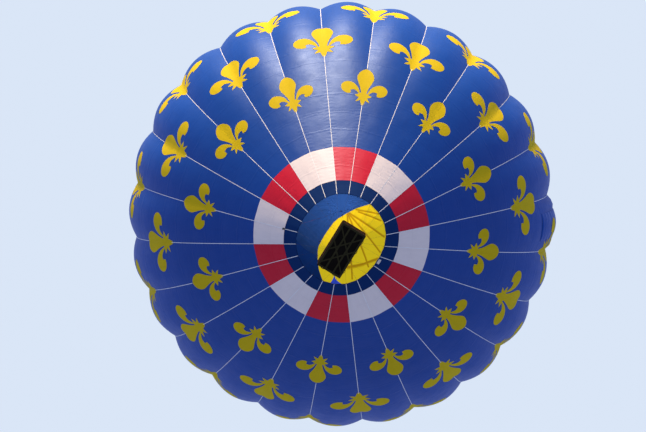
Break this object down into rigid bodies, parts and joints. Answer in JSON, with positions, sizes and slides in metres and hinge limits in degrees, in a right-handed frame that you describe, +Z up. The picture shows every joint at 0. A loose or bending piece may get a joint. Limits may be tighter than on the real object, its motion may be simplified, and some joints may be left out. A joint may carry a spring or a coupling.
{
  "type": "hot air balloon with a wicker basket",
  "caption": "Gored envelope with a parachute valve, a half-round scoop, a gimballed double burner and a wicker basket hung on wires.",
  "frame": {"origin": "on the axis at the envelope's widest level, where its lift acts", "axes": "+Z up along the axis, X along the basket's long side, the scoop on the +Y side and open towards -Y"},
  "size_m": [20.621, 20.621, 24.6474],
  "materials": {
    "navy_cloth": "matt heat-resistant cloth",
    "checker_cloth": "coated ripstop, red and white blocks",
    "blue_cloth": "coated ripstop with yellow heraldic flowers",
    "inner_blue_cloth": "coated ripstop",
    "yellow_cloth": "matt heat-resistant cloth",
    "white_webbing": "woven webbing",
    "cover_cloth": "padded cover",
    "steel": "brushed stainless",
    "coil_steel": "heat-tinted stainless coil",
    "black_metal": "satin black",
    "aluminium": "dull",
    "wicker": "woven willow and cane",
    "leather": "suede over padding",
    "wood": "worn dark timber"
  },
  "bodies": {
    "balloon": {"mouth_band": "navy_cloth", "checker_band": "checker_cloth", "lower_gores": "blue_cloth", "middle_gores": "blue_cloth", "upper_gores": "blue_cloth", "shoulder_gores": "blue_cloth", "crown_gores": "blue_cloth", "vent_rim": "blue_cloth", "load_tapes": "white_webbing", "crown_ring": "aluminium", "turning_vent": "blue_cloth", "scoop": "yellow_cloth", "flying_wires_front_right": "steel", "flying_wires_back_right": "steel", "flying_wires_back_left": "steel", "flying_wires_front_left": "steel", "burner_frame": "steel", "upright_front_right": "cover_cloth", "upright_back_right": "cover_cloth", "upright_back_left": "cover_cloth", "upright_front_left": "cover_cloth", "corner_post_front_right": "leather", "corner_post_back_right": "leather", "corner_post_back_left": "leather", "corner_post_front_left": "leather", "wall_back": "wicker", "wall_front": "wicker", "wall_right": "wicker", "wall_left": "wicker", "rim_pad": "leather", "basket_floor": "wood", "skid_lattice": "wood", "gas_cylinder_front_right": "aluminium", "gas_cylinder_back_right": "aluminium", "gas_cylinder_back_left": "aluminium", "gas_cylinder_front_left": "aluminium"},
    "valve": {"parachute": "inner_blue_cloth"},
    "gimbal": {"gimbal_ring": "steel"},
    "burner": {"burner_base": "black_metal", "burner_can_right": "coil_steel", "burner_can_left": "coil_steel", "blast_valve_right": "black_metal", "blast_valve_left": "black_metal"}
  },
  "joints": [
    {"name": "parachute_valve", "type": "slide", "parent": "balloon", "child": "valve", "axis": [0, 0, -1], "range_m": [0, 1.2]},
    {"name": "gimbal_tilt", "type": "hinge", "parent": "balloon", "child": "gimbal", "pos_m": [0, 0, -15.6521], "axis": [1, 0, 0], "range_deg": [-15, 15]},
    {"name": "burner_tilt", "type": "hinge", "parent": "gimbal", "child": "burner", "pos_m": [0, 0, -15.6521], "axis": [0, 1, 0], "range_deg": [-15, 15]}
  ]
}
